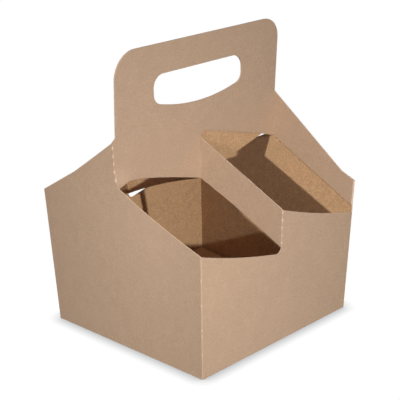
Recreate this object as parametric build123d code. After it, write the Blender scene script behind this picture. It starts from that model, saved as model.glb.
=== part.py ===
from build123d import *

import math
import os

# Four-cell drink carrier, folded and glued from one die-cut blank of kraft paperboard.
# Millimetres. The origin is the centre of the base, on the table, and +Z is up.
# The handle stands in the XZ plane. Half a turn about Z brings the blank nearly onto
# itself, so each wall, sheet, strap and flap is drawn once at the left or the front,
# and made again with half a turn at the right or the back. Where the opened carrier
# stands a little unevenly, the two have their own sizes.

# Board
board = 0.6
fold_radius = 0.9
corner_inside_radius = 0.3

# Body: a square tube that widens upwards
base_side = 165.0
wall_lean = 2.34

# Corner heights: low at front left and back right, high at front right and back left
low_corner_top = 100.0
left_corner_top = 111.4
right_corner_top = 110.7

# Side walls: a tall half that carries the handle and a short half beside a cell mouth
left_root_top = 167.0
left_bend_run = 41.0
left_bend_top = 135.3
right_root_top = 170.2
right_bend_run = 13.6
right_bend_top = 116.1
left_mouth_top = 134.0
right_mouth_top = 135.2
mouth_edge_sag = 2.1

# Front and back walls: the low half ends in the slot under the strap
front_slot_top = 75.1
front_slot_sag = 1.7
back_slot_top = 79.1
back_slot_sag = 0.2
slot_end_radius = 4.2
high_corner_rim = 84.0
strap_wall_sag = 1.65

# Straps from near the middle of the handle to the front and back walls
crease_offset = 1.25
strap_wall_top = 110.7
front_strap_wall_low = 80.1
front_strap_low_bow = 1.35
back_strap_wall_low = 84.0
back_strap_low_bow = 2.0
strap_middle_low = 116.7
strap_middle_top = 150.6

# Handle: the grip is one outline through both sheets. Overhangs and insets are from the base.
handle_top = 231.5
grip_left_overhang = 3.15
grip_left_low = 169.8
grip_left_radius = 20.5
grip_right_overhang = 6.2
grip_right_low = 170.6
grip_right_radius = 17.0
handle_root_low = 131.3
handle_peak_inset = 7.5
handle_peak_radius = 7.0
front_peak_top = 135.9
front_low_bow = 0.9
back_peak_top = 136.6
back_low_bow = -0.15
high_edge_middle = 156.0
high_edge_bend_inset = 16.5
high_edge_bend = 138.7
high_edge_wall = 131.8
cell_corner_radius = 4.0

# Hand hole: flat on top, bowed below
hole_length = 95.4
hole_middle = 1.2
hole_below_top = 23.1
hole_end_height = 20.9
hole_bow = 7.4
hole_top_radius = 10.0
hole_low_radius = 8.5

# Strips: the handle's ends, glued down the inside of the tall halves
strip_corner_low = 89.8
strip_root_low = 133.2

# Perforated folds
nick_width = 0.9
nick_length = 3.2
corner_nick_pitch = 20.2
corner_nick_first = 21.0
side_nick_pitch = 6.1
side_nick_first = 138.9
strap_nick_first = 84.5
nick_count = 5

# Glue flap inside the back left corner
glue_flap_width = 16.0
glue_flap_low = 4.0
glue_flap_top = 84.0
glue_flap_chamfer = 8.0
seam_groove_radius = 0.25

# Self-locking bottom; the inner flaps stand up a little from a diagonal
bottom_clearance = 1.2
lock_reach = 13.0
lock_slope_half = 9.0
lock_gap = 0.5
major_flap_taper = 5.0
minor_flap_depth = 62.0
minor_free_run = 2.0
minor_flap_lift = 5.0
minor_flap_sink = 0.2

# Larger than the carrier, for prisms that only have to pass through it
beyond = base_side * 0.75


def half_width(height):
    """Half the outside width of the tube at a height."""
    return base_side / 2 + height * math.tan(math.radians(wall_lean))


def half_turn(shape):
    return Rot(0, 0, 180) * shape


def tube_filling(inset, corner_radius):
    """The leaning tube as a solid block, set in from the outside of the walls."""
    low_side = 2 * (half_width(0) - inset)
    spread = half_width(handle_top) - half_width(0)
    far_end = low_side + spread
    lying = Wedge(low_side, handle_top, low_side, -spread, -spread, far_end, far_end, align=None)
    block = Pos(-low_side / 2, low_side / 2, 0) * Rot(90, 0, 0) * lying
    upright_edges = block.edges().filter_by(lambda edge: edge.bounding_box().size.Z > handle_top / 2)
    return fillet(upright_edges, corner_radius)


def corner(x, y, radius=0.0, bow=0.0):
    """A corner of an outline. The bow, positive to the left, bends the side that starts there."""
    return x, y, radius, bow


def outline_face(corners):
    """A closed face with some corners rounded and some sides bowed."""
    sides = []
    for index, (x, y, _, bow) in enumerate(corners):
        end_x, end_y, _, _ = corners[(index + 1) % len(corners)]
        if bow:
            sides.append(SagittaArc((x, y), (end_x, end_y), bow))
        else:
            sides.append(Line((x, y), (end_x, end_y)))
    face = make_face(sides)
    for x, y, radius, _ in corners:
        if radius:
            target = Vector(x, y)
            vertex = face.vertices().sort_by(lambda near: (Vector(*near) - target).length)[0]
            face = fillet(vertex, radius)
    return face


def side_prism(face, low_x, high_x):
    """A YZ outline carried along X."""
    return Pos(low_x, 0, 0) * extrude(Plane.YZ * face, high_x - low_x)


def front_prism(face, low_y, high_y):
    """An XZ outline carried along Y."""
    return Pos(0, high_y, 0) * extrude(Plane.XZ * face, high_y - low_y)


def wall_sector():
    """Everything to the left of the two diagonals, where the left wall lies."""
    triangle = Polyline((0, 0), (-beyond, beyond), (-beyond, -beyond), close=True)
    return extrude(make_face(triangle), handle_top)


def tall_edge(corner_top, bend_run, bend_top, root_top, root_y):
    """Top edge of a tall half, as YZ corners from the high corner to the handle."""
    corner_y = half_width(corner_top)
    slope = (bend_top - corner_top) / bend_run
    far_top = corner_top - slope * (beyond - corner_y)
    return [corner(beyond, far_top), corner(corner_y - bend_run, bend_top), corner(root_y, root_top)]


def side_wall(shell, tall_sizes, mouth_top):
    """Tall half at the back left, short half at the front left, in one leaning plane."""
    low_corner_y = -half_width(low_corner_top)
    corners = [corner(beyond, 0)] + tall_edge(*tall_sizes, -board) + [
        corner(-board, mouth_top, bow=mouth_edge_sag),
        corner(low_corner_y, low_corner_top),
        corner(-beyond, low_corner_top),
        corner(-beyond, 0),
    ]
    return shell & side_prism(outline_face(corners), -beyond, 0) & wall_sector()


def front_wall(shell, slot_top, slot_sag):
    """Low half at the front left, and at the right the half that the strap joins."""
    fold_x = -board / 2
    corners = [
        corner(-beyond, 0),
        corner(-beyond, low_corner_top),
        corner(-half_width(low_corner_top), low_corner_top, bow=-slot_sag),
        corner(fold_x, slot_top, radius=slot_end_radius),
        corner(fold_x, strap_wall_top, bow=-strap_wall_sag),
        corner(half_width(high_corner_rim), high_corner_rim),
        corner(beyond, high_corner_rim),
        corner(beyond, 0),
    ]
    sector = Rot(0, 0, 90) * wall_sector()
    return shell & front_prism(outline_face(corners), -beyond, 0) & sector


def strip(inner_shell, tall_sizes):
    """A sheet's end, lying inside the left wall from the handle to the back corner."""
    corner_y = half_width(strip_corner_low)
    slope = (strip_root_low - strip_corner_low) / corner_y
    far_low = strip_corner_low - slope * (beyond - corner_y)
    top_edge = tall_edge(*tall_sizes, 0)
    corners = [corner(beyond, far_low)] + top_edge + [corner(0, strip_root_low)]
    return inner_shell & side_prism(outline_face(corners), -beyond, 0) & wall_sector()


def grip_ends():
    """Low ends of the grip, left and right, out past the walls."""
    left_x = -half_width(0) - grip_left_overhang
    right_x = half_width(0) + grip_right_overhang
    return (left_x, grip_left_low), (right_x, grip_right_low)


def grip(left_end, right_end):
    """Both sheets of the handle above the walls, glued face to face."""
    left_x, _ = left_end
    right_x, _ = right_end
    corners = [
        corner(*left_end),
        corner(*right_end),
        corner(right_x, handle_top, radius=grip_right_radius),
        corner(left_x, handle_top, radius=grip_left_radius),
    ]
    return front_prism(outline_face(corners), -board, board)


def handle_sheet(fold_top, strip_top, peak, ends):
    """The front sheet below the grip, from the left wall to the strip on the right."""
    peak_top, low_bow = peak
    left_end, right_end = ends
    peak_x = half_width(0) - handle_peak_inset
    bend_x = half_width(0) - high_edge_bend_inset
    crease_x = crease_offset + board / 2
    corners = [
        corner(-half_width(handle_root_low), handle_root_low),
        corner(-peak_x, peak_top, radius=handle_peak_radius, bow=low_bow),
        corner(crease_x, strap_middle_low),
        corner(crease_x, high_edge_middle, radius=cell_corner_radius),
        corner(bend_x, high_edge_bend),
        corner(half_width(high_edge_wall) - board, high_edge_wall),
        corner(half_width(strip_top) - board, strip_top),
        corner(*right_end),
        corner(*left_end),
        corner(-half_width(fold_top), fold_top),
    ]
    return front_prism(outline_face(corners), -board, 0)


def hand_hole():
    low_x = hole_middle - hole_length / 2
    high_x = hole_middle + hole_length / 2
    hole_top = handle_top - hole_below_top
    end_low = hole_top - hole_end_height
    corners = [
        corner(low_x, end_low, radius=hole_low_radius, bow=-hole_bow),
        corner(high_x, end_low, radius=hole_low_radius),
        corner(high_x, hole_top, radius=hole_top_radius),
        corner(low_x, hole_top, radius=hole_top_radius),
    ]
    return front_prism(outline_face(corners), -beyond, beyond)


def strap(wall_low, low_bow):
    """The strap from the handle's crease to the middle of the front wall."""
    wall_top_y = -half_width(strap_wall_top) + board / 2
    wall_low_y = -half_width(wall_low) + board / 2
    corners = [
        corner(-board / 2, strap_middle_low),
        corner(-board / 2, strap_middle_top),
        corner(wall_top_y, strap_wall_top),
        corner(wall_low_y, wall_low, bow=low_bow),
    ]
    skew = math.degrees(math.atan2(crease_offset, -wall_top_y))
    straight = side_prism(outline_face(corners), -board / 2, board / 2)
    return Pos(crease_offset, 0, 0) * Rot(0, 0, -skew) * straight


def glue_flap(inner_shell):
    """Runs on from the back wall and is glued inside the left wall."""
    corner_y = half_width(0)
    inside_y = corner_y - glue_flap_width
    corners = [
        corner(beyond, glue_flap_low),
        corner(corner_y, glue_flap_low),
        corner(inside_y, glue_flap_low + glue_flap_chamfer),
        corner(inside_y, glue_flap_top - glue_flap_chamfer),
        corner(corner_y + board, glue_flap_top),
        corner(beyond, glue_flap_top),
    ]
    return inner_shell & side_prism(outline_face(corners), -beyond, 0) & wall_sector()


def major_flap():
    """Bottom flap on the left wall, hooked to its twin along the middle of the base."""
    wall_x = -half_width(0) + board / 2
    side_y = half_width(0) - bottom_clearance
    lock_x = lock_reach - lock_gap / 2
    short_x = -lock_reach - lock_gap / 2
    corners = [
        corner(wall_x, side_y),
        corner(wall_x, -side_y),
        corner(short_x, -side_y + major_flap_taper),
        corner(short_x, -lock_slope_half),
        corner(lock_x, lock_slope_half),
        corner(lock_x, side_y - major_flap_taper),
    ]
    return extrude(outline_face(corners), board)


def minor_flap(middle_of_walls):
    """Bottom flap on the front wall, standing up to the left from its diagonal at the right."""
    wall_y = -half_width(board)
    side_x = half_width(board) - bottom_clearance
    free_y = wall_y + minor_flap_depth
    corners = [
        corner(-side_x, wall_y - board),
        corner(side_x, wall_y - board),
        corner(side_x, wall_y),
        corner(side_x - minor_flap_depth, free_y),
        corner(-side_x + minor_free_run, free_y),
    ]
    flat = Pos(0, 0, board - minor_flap_sink) * extrude(outline_face(corners), board)
    diagonal = Axis((side_x, wall_y, board - minor_flap_sink), (-1, 1, 0))
    return flat.rotate(diagonal, minor_flap_lift) & middle_of_walls


def nick(x, y, height):
    """A perforation cut on the outside of an upright fold."""
    return Pos(x, y, height) * Rot(0, 0, 45) * Box(nick_width, nick_width, nick_length)


def perforations():
    """Nicks on the front left fold, the left end of the handle and the front strap's fold."""
    cuts = []
    for index in range(nick_count):
        corner_height = corner_nick_first + index * corner_nick_pitch
        if corner_height < low_corner_top:
            fold = -half_width(corner_height)
            cuts.append(nick(fold, fold, corner_height))
        side_height = side_nick_first + index * side_nick_pitch
        cuts.append(nick(-half_width(side_height), -board, side_height))
        strap_height = strap_nick_first + index * side_nick_pitch
        cuts.append(nick(-board / 2, -half_width(strap_height), strap_height))
    return cuts


def seam_groove():
    """The line where the back wall's fold meets the left wall's raw edge."""
    low = Vector(-half_width(0) + board, half_width(0), 0)
    high = Vector(-half_width(high_corner_rim) + board, half_width(high_corner_rim), high_corner_rim)
    start = Plane(origin=low, z_dir=high - low)
    return extrude(start * Circle(seam_groove_radius), (high - low).length)


def carrier():
    outside = tube_filling(0, fold_radius)
    inside = tube_filling(board, corner_inside_radius)
    second_inside = tube_filling(2 * board, corner_inside_radius)
    shell = outside - inside
    inner_shell = inside - second_inside

    middle_of_walls = tube_filling(board / 2, fold_radius - board / 2)

    left_sizes = (left_corner_top, left_bend_run, left_bend_top, left_root_top)
    right_sizes = (right_corner_top, right_bend_run, right_bend_top, right_root_top)
    front_ends = grip_ends()
    turned_ends = [(-x, low) for x, low in reversed(front_ends)]
    front_peak = (front_peak_top, front_low_bow)
    back_peak = (back_peak_top, back_low_bow)

    front_left_parts = [
        side_wall(shell, left_sizes, left_mouth_top),
        front_wall(shell, front_slot_top, front_slot_sag),
        strip(inner_shell, left_sizes),
        handle_sheet(left_root_top, right_root_top, front_peak, front_ends),
        strap(front_strap_wall_low, front_strap_low_bow),
        major_flap(),
        minor_flap(middle_of_walls),
    ]
    turned_parts = [
        side_wall(shell, right_sizes, right_mouth_top),
        front_wall(shell, back_slot_top, back_slot_sag),
        strip(inner_shell, right_sizes),
        handle_sheet(right_root_top, left_root_top, back_peak, turned_ends),
        strap(back_strap_wall_low, back_strap_low_bow),
        major_flap(),
        minor_flap(middle_of_walls),
    ]
    body = grip(*front_ends).fuse(*front_left_parts, *[half_turn(part) for part in turned_parts])
    body = body.fuse(glue_flap(inner_shell))
    half_cuts = perforations()
    body = body.cut(hand_hole(), seam_groove(), *half_cuts, *[half_turn(cut) for cut in half_cuts])
    return body.clean()


def main():
    os.makedirs("parts", exist_ok=True)
    part = carrier()
    solids = part.solids()
    print("solids", len(solids), "volume", round(sum(solid.volume for solid in solids), 1))
    export_step(Compound(children=solids) if len(solids) > 1 else solids[0], "parts/carrier.step")


main()
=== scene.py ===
import math

import bmesh
import bpy
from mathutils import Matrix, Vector


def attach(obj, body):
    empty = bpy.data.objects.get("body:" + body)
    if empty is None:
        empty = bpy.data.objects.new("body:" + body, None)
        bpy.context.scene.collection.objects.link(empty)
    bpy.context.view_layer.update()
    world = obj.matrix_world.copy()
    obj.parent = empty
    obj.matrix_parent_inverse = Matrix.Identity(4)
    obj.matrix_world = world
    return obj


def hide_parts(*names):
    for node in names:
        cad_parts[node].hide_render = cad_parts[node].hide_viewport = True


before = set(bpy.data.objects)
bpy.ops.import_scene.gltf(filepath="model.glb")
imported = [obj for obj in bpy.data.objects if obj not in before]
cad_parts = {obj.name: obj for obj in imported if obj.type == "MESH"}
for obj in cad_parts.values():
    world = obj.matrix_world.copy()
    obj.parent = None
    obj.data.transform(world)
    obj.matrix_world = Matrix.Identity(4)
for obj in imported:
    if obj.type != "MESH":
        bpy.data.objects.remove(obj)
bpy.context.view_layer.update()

# Metres throughout. The carrier stands on z = 0 and its handle lies in the XZ plane.
board = 0.0006
layer_depth = board * 1.5
base_half = 0.0825
wall_slope = math.tan(math.radians(2.34))

# Camera, at the photograph's viewing angle
camera_place = Vector((-0.61805, -0.62366, 0.41545))
camera_azimuth = math.radians(-44.82)
camera_elevation = math.radians(19.886)
camera_roll = math.radians(-1.758)
sensor_width = 36.0
lens_mm = 105.8

# How the opened board stands: a slight lean to the front, and the handle's ends not quite upright
front_lean = -0.0157
handle_root = 0.1675
handle_turn_rise = 0.006
handle_left_shift = 0.0022
handle_right_shift = 0.0045
handle_top = 0.231
hole_reach = 0.050
handle_edge = 0.078

# How far the corners of the base stand from their places in the even form; gone at the rims
corner_shifts = {
    (-1, 1): Vector((-0.0019, -0.00235, 0.0)),
    (-1, -1): Vector((0.0002, 0.0009, 0.0)),
    (1, -1): Vector((0.0017, 0.0013, 0.0)),
}
corner_shift_end = 0.105

# The back right corner stands out along its whole height
back_right_shift = Vector((0.0011, -0.0011, 0.0))
back_right_full = 0.085
back_right_end = 0.130

# The free low corner of the front sheet curls forward at the left
curl = Vector((0.0, -0.0019, -0.0008))
curl_start = 0.1
curl_full = 0.125
curl_low = 0.134
curl_high = 0.146
curl_out = 0.076
curl_in = 0.060
curl_front = 0.002
curl_end = 0.012
seam_width = 0.00001

# Straps: the crease at the handle lies off the middle, and each runs square to the wall but for a slight turn
crease_offset = 0.00125
strap_turn = 0.00155 / 0.0867

# Perforation cuts, as in the solid
nick_reach = 0.00067
nick_half_length = 0.00165
nick_count = 5
corner_nick_first = 0.021
corner_nick_pitch = 0.0202
side_nick_first = 0.1389
strap_nick_first = 0.0845
side_nick_pitch = 0.0061

# The handle is cut into small even cells, so that it can take its lean smoothly
grid_step = 0.006
grid_start = handle_root + 0.0005
grid_weld = 1e-7
sharp_angle = math.radians(35)

# Which finish a face shows: how near to the sheet's place it lies, and how squarely it faces out of it
sheet_reach = 0.0008
outer_layer = board * 0.7
wall_reach = 0.0016
wall_top = handle_root + 0.002
corner_reach = 0.0015
strip_low = 0.086
flap_top = 0.013
sheet_facing = 0.7
wall_facing = 0.6
flap_facing = 0.5

# Kraft board
outer_colour = (0.452, 0.311, 0.205)
inner_colour = (0.485, 0.300, 0.157)
cut_colour = (0.56, 0.41, 0.295)
tone_low = 0.3
tone_high = 0.7
mottle_detail = 4.0
mottle_rough = 0.6
grain_detail = 3.0
grain_rough = 0.7
kraft_specular = 0.3
bump_distance = 0.0001

# Light: two small hard lamps, one for each visible wall, and a weak white room
lamp_through = Vector((0.0, -0.045, 0.105))
lamp_width = 0.022
left_travel = (1.0, 0.185, -0.438)
left_distance = 1.4
left_aim = Vector((0.0, -0.025, 0.07))
left_beam_reach = 0.45
left_power = 0.56
right_travel = (0.137, 1.0, -0.45)
right_distance = 1.15
right_aim = Vector((-0.07, 0.0, 0.03))
right_beam_reach = 0.6
right_power = 1.03
world_strength = 0.16
world_tint = (0.98, 0.82, 1.0)
white = (1.0, 1.0, 1.0)

# Floor: white, a trace darker close to the carrier
floor_size = 8.0
floor_grey = (0.25, 0.25, 0.25, 1.0)
floor_rough = 0.9
floor_white_share = 0.97
floor_glow = 1.03
contact_samples = 16
contact_reach = 0.012
contact_dark = 0.0
contact_light = 1.0
contact_tint = (0.14, 0.15, 0.165)


def half_width(z):
    return base_half + wall_slope * z


def smooth_ramp(value, low, high):
    t = min(max((value - low) / (high - low), 0.0), 1.0)
    return t * t * (3.0 - 2.0 * t)


# Shape

def cut_faces(bm, axis, step):
    """Cuts the marked faces by even planes across one axis."""
    mark = bm.faces.layers.int["cells"]
    spots = [vert.co[axis] for face in bm.faces if face[mark] == 1 for vert in face.verts]
    normal = Vector((0, 0, 0))
    normal[axis] = 1.0
    place = math.floor(min(spots) / step) * step + step / 3
    while place < max(spots):
        faces = [face for face in bm.faces if face[mark] == 1]
        edges = list({edge for face in faces for edge in face.edges})
        verts = list({vert for face in faces for vert in face.verts})
        bmesh.ops.bisect_plane(
            bm, geom=verts + edges + faces, dist=grid_weld, plane_co=normal * place, plane_no=normal
        )
        place += step


def refined_copy(node):
    """A copy of the CAD mesh whose handle and curled corner are cut into small even cells."""
    bm = bmesh.new()
    bm.from_mesh(node.data)
    mark = bm.faces.layers.int.new("cells")
    for face in bm.faces:
        highest = max(vert.co.z for vert in face.verts)
        centre = face.calc_center_median()
        curled = abs(centre.y) < layer_depth and centre.x < -curl_in * 0.5 and highest > curl_low
        face[mark] = 1 if highest > grid_start or curled else 0
    for axis in range(3):
        cut_faces(bm, axis, grid_step)
    return bm


OUTER, INNER, CUT = range(3)


def in_nick(x, y, z):
    """Whether a point lies in one of the perforation cuts along the upright folds."""
    for side in (1.0, -1.0):
        wall = half_width(z)
        for fold_x, fold_y, first, pitch in (
            (-wall, -wall, corner_nick_first, corner_nick_pitch),
            (-wall, -board, side_nick_first, side_nick_pitch),
            (-board / 2, -wall, strap_nick_first, side_nick_pitch),
        ):
            index = round((z - first) / pitch)
            off = max(abs(side * x - fold_x + side * y - fold_y), abs(side * x - fold_x - side * y + fold_y))
            inside = off < nick_reach and abs(z - first - index * pitch) < nick_half_length
            if inside and 0 <= index < nick_count:
                return True
    return False


def finish_of(face):
    """Which finish a face of the folded board shows: printed side, plain side or cut edge."""
    centre = face.calc_center_median()
    normal = face.normal
    x, y, z = centre
    if in_nick(x, y, z):
        return CUT
    if abs(y) < sheet_reach and abs(normal.y) > sheet_facing:
        return OUTER if y * normal.y > 0 and abs(y) > outer_layer else INNER
    wall_x = abs(x) > abs(y)
    inset = half_width(z) - max(abs(x), abs(y))
    if inset < wall_reach and z < wall_top:
        outward = Vector((math.copysign(1, x), 0, 0)) if wall_x else Vector((0, math.copysign(1, y), 0))
        if abs(abs(x) - abs(y)) < corner_reach:
            outward = Vector((math.copysign(1, x), math.copysign(1, y), 0)).normalized()
        facing = normal.dot(outward)
        if facing > wall_facing:
            return OUTER
        if facing < -wall_facing:
            strip = wall_x and inset > layer_depth and z > strip_low and x * y < 0
            return OUTER if strip else INNER
        if z > flap_top:
            return CUT
    if z < flap_top:
        if normal.z < -flap_facing:
            return OUTER
        return INNER if normal.z > flap_facing else CUT
    strap_x = strap_turn * y - math.copysign(crease_offset, y)
    if abs(x - strap_x) < sheet_reach and abs(normal.x) > sheet_facing:
        return OUTER if normal.x * y > 0 else INNER
    return CUT


def settle(point):
    """Moves a point of the true form to where the opened board of the photograph has it."""
    x, y, z = point
    moved = Vector((0.0, 0.0, 0.0))
    for (side_x, side_y), corner_shift in corner_shifts.items():
        share = (0.5 + 0.5 * side_x * x / base_half) * (0.5 + 0.5 * side_y * y / base_half)
        moved += corner_shift * share * max(1.0 - z / corner_shift_end, 0.0)
    if x > 0 and y > 0:
        share = x * y / base_half ** 2
        moved += back_right_shift * share * (1.0 - smooth_ramp(z, back_right_full, back_right_end))
    if x < 0 and y < seam_width:
        sideways = smooth_ramp(-x, curl_in, curl_out)
        forward = 1.0 - smooth_ramp(-y, curl_front, curl_end)
        upward = 1.0 - smooth_ramp(z, curl_low, curl_high)
        moved += curl * sideways * forward * upward * smooth_ramp(z, curl_start, curl_full)
    shift = 0.0
    rise = 0.0
    if z > handle_root and abs(x) > hole_reach:
        up = (z - handle_root) / (handle_top - handle_root)
        most = handle_left_shift if x < 0 else handle_right_shift
        shift = most * up * smooth_ramp(abs(x), hole_reach, handle_edge)
    if z > handle_root:
        rise = -handle_turn_rise * x * smooth_ramp(z, handle_root, handle_top)
    return Vector((x + shift, y + front_lean * z, z + rise)) + moved


def build_board():
    bm = refined_copy(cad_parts["carrier"])
    bm.normal_update()
    for face in bm.faces:
        face.material_index = finish_of(face)
    for vert in bm.verts:
        vert.co = settle(vert.co)
    mesh = bpy.data.meshes.new("board")
    bm.to_mesh(mesh)
    bm.free()
    mesh.shade_smooth()
    mesh.set_sharp_from_angle(angle=sharp_angle)
    piece = bpy.data.objects.new("board", mesh)
    bpy.context.scene.collection.objects.link(piece)
    for material in (outer_finish(), inner_finish(), cut_edge()):
        mesh.materials.append(material)
    return piece


# Materials

def node_material(name):
    material = bpy.data.materials.new(name)
    material.use_nodes = True
    tree = material.node_tree
    shader = tree.nodes["Principled BSDF"]
    return material, tree, shader


def noise(tree, coords, scale, detail, rough):
    node = tree.nodes.new("ShaderNodeTexNoise")
    node.inputs["Scale"].default_value = scale
    node.inputs["Detail"].default_value = detail
    node.inputs["Roughness"].default_value = rough
    tree.links.new(coords, node.inputs["Vector"])
    return node.outputs["Fac"]


def tone(tree, source, low, high, dark, light):
    """A colour ramp between two tones over part of a source's range."""
    ramp = tree.nodes.new("ShaderNodeValToRGB")
    ramp.color_ramp.elements[0].position = low
    ramp.color_ramp.elements[0].color = (*dark, 1.0)
    ramp.color_ramp.elements[1].position = high
    ramp.color_ramp.elements[1].color = (*light, 1.0)
    tree.links.new(source, ramp.inputs["Fac"])
    return ramp.outputs["Color"]


def multiplied(tree, first, second):
    mix = tree.nodes.new("ShaderNodeMix")
    mix.data_type = "RGBA"
    mix.blend_type = "MULTIPLY"
    mix.inputs["Factor"].default_value = 1.0
    tree.links.new(first, mix.inputs["A"])
    tree.links.new(second, mix.inputs["B"])
    return mix.outputs["Result"]


def kraft(name, base, mottle, mottle_scale, grain, grain_scale, fibre, bump_strength, roughness):
    """Kraft board: broad clouds of tone, and grain or fibres that run along the sheet."""
    material, tree, shader = node_material(name)
    coords = tree.nodes.new("ShaderNodeTexCoord").outputs["Object"]
    along = tree.nodes.new("ShaderNodeMapping")
    along.inputs["Scale"].default_value = (1.0, 1.0, fibre)
    tree.links.new(coords, along.inputs["Vector"])
    dark = tuple(c * (1.0 - mottle) for c in base)
    light = tuple(min(c * (1.0 + mottle), 1.0) for c in base)
    broad_source = noise(tree, coords, mottle_scale, mottle_detail, mottle_rough)
    broad = tone(tree, broad_source, tone_low, tone_high, dark, light)
    shade = (1.0 - grain,) * 3
    glint = (1.0 + grain,) * 3
    fine_source = noise(tree, along.outputs["Vector"], grain_scale, grain_detail, grain_rough)
    fine = tone(tree, fine_source, tone_low, tone_high, shade, glint)
    tree.links.new(multiplied(tree, broad, fine), shader.inputs["Base Color"])
    shader.inputs["Roughness"].default_value = roughness
    shader.inputs["Specular IOR Level"].default_value = kraft_specular
    bump = tree.nodes.new("ShaderNodeBump")
    bump.inputs["Strength"].default_value = bump_strength
    bump.inputs["Distance"].default_value = bump_distance
    tree.links.new(fine_source, bump.inputs["Height"])
    tree.links.new(bump.outputs["Normal"], shader.inputs["Normal"])
    return material


def outer_finish():
    return kraft(
        "kraft_outer", outer_colour, mottle=0.03, mottle_scale=90.0, grain=0.12, grain_scale=700.0,
        fibre=1.4, bump_strength=0.3, roughness=0.75,
    )


def inner_finish():
    return kraft(
        "kraft_inner", inner_colour, mottle=0.07, mottle_scale=160.0, grain=0.26, grain_scale=600.0,
        fibre=1.6, bump_strength=0.5, roughness=0.9,
    )


def cut_edge():
    return kraft(
        "kraft_cut", cut_colour, mottle=0.04, mottle_scale=300.0, grain=0.1, grain_scale=1500.0,
        fibre=1.0, bump_strength=0.4, roughness=0.95,
    )


# Setting

def seen_directly(tree):
    """1 for rays of the camera, of gloss and of glass, 0 for the light that falls on the carrier."""
    path = tree.nodes.new("ShaderNodeLightPath")
    total = path.outputs["Is Camera Ray"]
    for ray in ("Is Glossy Ray", "Is Transmission Ray"):
        either = tree.nodes.new("ShaderNodeMath")
        either.operation = "MAXIMUM"
        tree.links.new(total, either.inputs[0])
        tree.links.new(path.outputs[ray], either.inputs[1])
        total = either.outputs[0]
    return total


def scaled(tree, source, factor):
    node = tree.nodes.new("ShaderNodeMath")
    node.operation = "MULTIPLY"
    node.inputs[1].default_value = factor
    tree.links.new(source, node.inputs[0])
    return node.outputs[0]


def floor_finish():
    """A white floor that stays white to the eye, with a soft shadow close around the carrier."""
    material, tree, shader = node_material("floor_white")
    shader.inputs["Base Color"].default_value = floor_grey
    shader.inputs["Roughness"].default_value = floor_rough
    contact = tree.nodes.new("ShaderNodeAmbientOcclusion")
    contact.samples = contact_samples
    contact.inputs["Distance"].default_value = contact_reach
    shaded = tone(tree, contact.outputs["AO"], contact_dark, contact_light, contact_tint, white)
    glow = tree.nodes.new("ShaderNodeEmission")
    tree.links.new(shaded, glow.inputs["Color"])
    glow.inputs["Strength"].default_value = floor_glow
    mix = tree.nodes.new("ShaderNodeMixShader")
    tree.links.new(scaled(tree, seen_directly(tree), floor_white_share), mix.inputs["Fac"])
    tree.links.new(shader.outputs["BSDF"], mix.inputs[1])
    tree.links.new(glow.outputs["Emission"], mix.inputs[2])
    tree.links.new(mix.outputs["Shader"], tree.nodes["Material Output"].inputs["Surface"])
    return material


def build_floor():
    bpy.ops.mesh.primitive_plane_add(size=floor_size, location=(0, 0, 0))
    floor = bpy.context.object
    floor.name = "floor"
    floor.data.materials.append(floor_finish())


def build_world():
    """A weak room light, and a white background to the eye."""
    world = bpy.data.worlds.new("studio")
    bpy.context.scene.world = world
    world.use_nodes = True
    tree = world.node_tree
    background = tree.nodes["Background"]
    mix = tree.nodes.new("ShaderNodeMix")
    mix.data_type = "RGBA"
    mix.inputs["A"].default_value = (*[channel * world_strength for channel in world_tint], 1.0)
    mix.inputs["B"].default_value = (*white, 1.0)
    tree.links.new(seen_directly(tree), mix.inputs["Factor"])
    tree.links.new(mix.outputs["Result"], background.inputs["Color"])


def studio_lamp(name, travel, distance, aim, beam_reach, power):
    """A small lamp whose light passes a point in front of the handle along a direction."""
    lamp = bpy.data.lights.new(name, "AREA")
    lamp.shape = "DISK"
    lamp.size = lamp_width * distance
    lamp.spread = 2.0 * math.atan(beam_reach / distance)
    lamp.energy = power
    body = bpy.data.objects.new(name, lamp)
    body.location = lamp_through - Vector(travel).normalized() * distance
    body.rotation_euler = (aim - body.location).to_track_quat("-Z", "Y").to_euler()
    bpy.context.scene.collection.objects.link(body)


def build_camera():
    lens = bpy.data.cameras.new("camera")
    lens.lens = lens_mm
    lens.sensor_width = sensor_width
    body = bpy.data.objects.new("camera", lens)
    back = Vector((
        math.sin(camera_azimuth) * math.cos(camera_elevation),
        -math.cos(camera_azimuth) * math.cos(camera_elevation),
        math.sin(camera_elevation),
    ))
    right = (-back).cross(Vector((0, 0, 1))).normalized()
    up = back.cross(right)
    rolled_right = right * math.cos(camera_roll) + up * math.sin(camera_roll)
    rolled_up = up * math.cos(camera_roll) - right * math.sin(camera_roll)
    pose = body.matrix_world.copy()
    for row in range(3):
        pose[row][0] = rolled_right[row]
        pose[row][1] = rolled_up[row]
        pose[row][2] = back[row]
        pose[row][3] = camera_place[row]
    body.matrix_world = pose
    bpy.context.scene.collection.objects.link(body)
    bpy.context.scene.camera = body


build_camera()
build_world()
build_floor()
studio_lamp("lamp_left", left_travel, left_distance, left_aim, left_beam_reach, left_power)
studio_lamp("lamp_right", right_travel, right_distance, right_aim, right_beam_reach, right_power)

carrier = build_board()
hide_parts("carrier")
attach(carrier, "root")

bpy.context.scene.view_settings.view_transform = "Standard"
